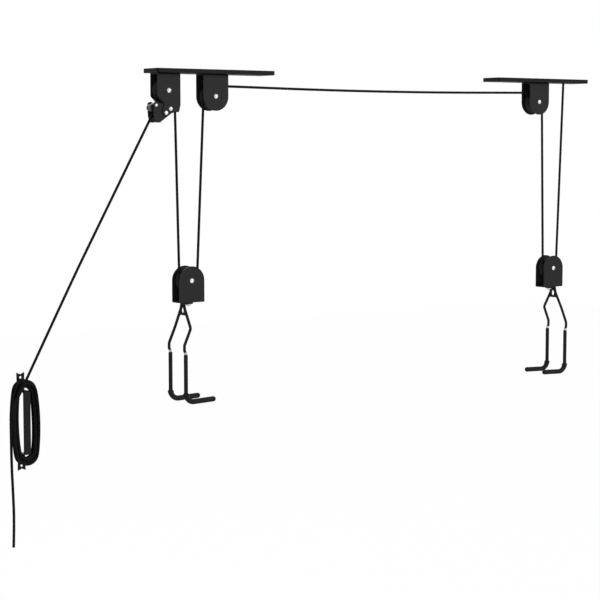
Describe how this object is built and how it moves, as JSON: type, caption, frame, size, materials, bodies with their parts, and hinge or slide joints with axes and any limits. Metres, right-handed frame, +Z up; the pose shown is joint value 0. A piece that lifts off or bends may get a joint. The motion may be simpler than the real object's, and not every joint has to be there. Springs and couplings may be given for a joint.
{
  "type": "ceiling rope hoist",
  "caption": "Ceiling hoist with a rope over sheaves, hanging blocks with coated hooks, a rope lock and a wall cleat.",
  "frame": {"origin": "centre of the left plate's screw pattern on the ceiling plane", "axes": "+X along the span to the right plate, +Y back towards the wall, +Z up into the ceiling"},
  "size_m": [1.2431, 0.0576, 0.7726],
  "materials": {
    "black_steel": "satin black powder coat",
    "sheave_plastic": "moulded black plastic",
    "zinc_steel": "bright zinc plated rivets",
    "cam_steel": "dark oiled steel",
    "rope": "braided black cord",
    "rubber": "soft black dip"
  },
  "bodies": {
    "rack": {"ceiling_plate_left": "black_steel", "ceiling_plate_right": "black_steel", "housing_rivets": "zinc_steel", "left_housing": "black_steel", "left_sheave_axle": "zinc_steel", "left_sheave_bush": "zinc_steel", "lock_bracket": "black_steel", "lock_bracket_rivets": "zinc_steel", "lock_cam_pin": "zinc_steel", "lock_housing": "black_steel", "lock_sheave_axle": "zinc_steel", "lock_sheave_bush": "zinc_steel", "right_housing": "black_steel", "right_sheave_axle": "zinc_steel", "right_sheave_bush": "zinc_steel", "rope_anchor_knot": "rope", "rope_fall_anchor": "rope", "rope_fall_left": "rope", "rope_fall_lock": "rope", "rope_fall_right": "rope", "rope_hank": "rope", "rope_lead": "rope", "rope_span": "rope", "rope_tail": "rope", "wall_cleat": "black_steel"},
    "lock_sheave": {"lock_sheave": "sheave_plastic"},
    "left_sheave": {"left_sheave": "sheave_plastic"},
    "right_sheave": {"right_sheave": "sheave_plastic"},
    "lock_cam": {"lock_cam": "cam_steel"},
    "left_block": {"left_block_housing": "black_steel", "left_block_axle": "zinc_steel", "left_block_bush": "zinc_steel", "left_swivel_rivet": "zinc_steel", "rope_bight_left": "rope"},
    "left_block_sheave": {"left_block_sheave": "sheave_plastic"},
    "left_hook": {"left_hook_frame": "black_steel", "left_hook_sleeve_front": "rubber", "left_hook_sleeve_back": "rubber"},
    "right_block": {"right_block_housing": "black_steel", "right_block_axle": "zinc_steel", "right_block_bush": "zinc_steel", "right_swivel_rivet": "zinc_steel", "rope_bight_right": "rope"},
    "right_block_sheave": {"right_block_sheave": "sheave_plastic"},
    "right_hook": {"right_hook_frame": "black_steel", "right_hook_sleeve_front": "rubber", "right_hook_sleeve_back": "rubber"}
  },
  "joints": [
    {"name": "left_lift", "type": "slide", "parent": "rack", "child": "left_block", "axis": [0, 0, 1], "range_m": [-0.43, 0.24], "deforming": ["rope_fall_left", "rope_fall_lock"]},
    {"name": "right_lift", "type": "slide", "parent": "rack", "child": "right_block", "axis": [0, 0, 1], "range_m": [-0.43, 0.24], "deforming": ["rope_fall_anchor", "rope_fall_right"]},
    {"name": "lock_sheave_spin", "type": "hinge", "parent": "rack", "child": "lock_sheave", "pos_m": [-0.08825, 0, -0.036], "axis": [0, 1, 0], "continuous": true},
    {"name": "left_sheave_spin", "type": "hinge", "parent": "rack", "child": "left_sheave", "pos_m": [0.004, 0, -0.0445], "axis": [0, 1, 0], "continuous": true},
    {"name": "right_sheave_spin", "type": "hinge", "parent": "rack", "child": "right_sheave", "pos_m": [0.746, 0, -0.0445], "axis": [0, 1, 0], "continuous": true},
    {"name": "left_block_sheave_spin", "type": "hinge", "parent": "left_block", "child": "left_block_sheave", "pos_m": [-0.046, 0, -0.355], "axis": [0, 1, 0], "continuous": true},
    {"name": "right_block_sheave_spin", "type": "hinge", "parent": "right_block", "child": "right_block_sheave", "pos_m": [0.789, 0, -0.369], "axis": [0, 1, 0], "continuous": true},
    {"name": "left_hook_swivel", "type": "hinge", "parent": "left_block", "child": "left_hook", "pos_m": [-0.046, 0, -0.392], "axis": [0, 0, 1], "continuous": true},
    {"name": "right_hook_swivel", "type": "hinge", "parent": "right_block", "child": "right_hook", "pos_m": [0.789, 0, -0.406], "axis": [0, 0, 1], "continuous": true},
    {"name": "lock_cam_pivot", "type": "hinge", "parent": "rack", "child": "lock_cam", "pos_m": [-0.11175, 0, -0.0606], "axis": [0, 1, 0], "range_deg": [0, 40]}
  ],
  "couplings": [
    {"joint": "right_lift", "follows": "left_lift", "ratio": 1},
    {"joint": "lock_sheave_spin", "follows": "left_lift", "rad_per_m": -228.57},
    {"joint": "left_sheave_spin", "follows": "left_lift", "rad_per_m": -114.29},
    {"joint": "right_sheave_spin", "follows": "left_lift", "rad_per_m": -114.29},
    {"joint": "left_block_sheave_spin", "follows": "left_lift", "rad_per_m": 171.43},
    {"joint": "right_block_sheave_spin", "follows": "left_lift", "rad_per_m": 57.143}
  ]
}
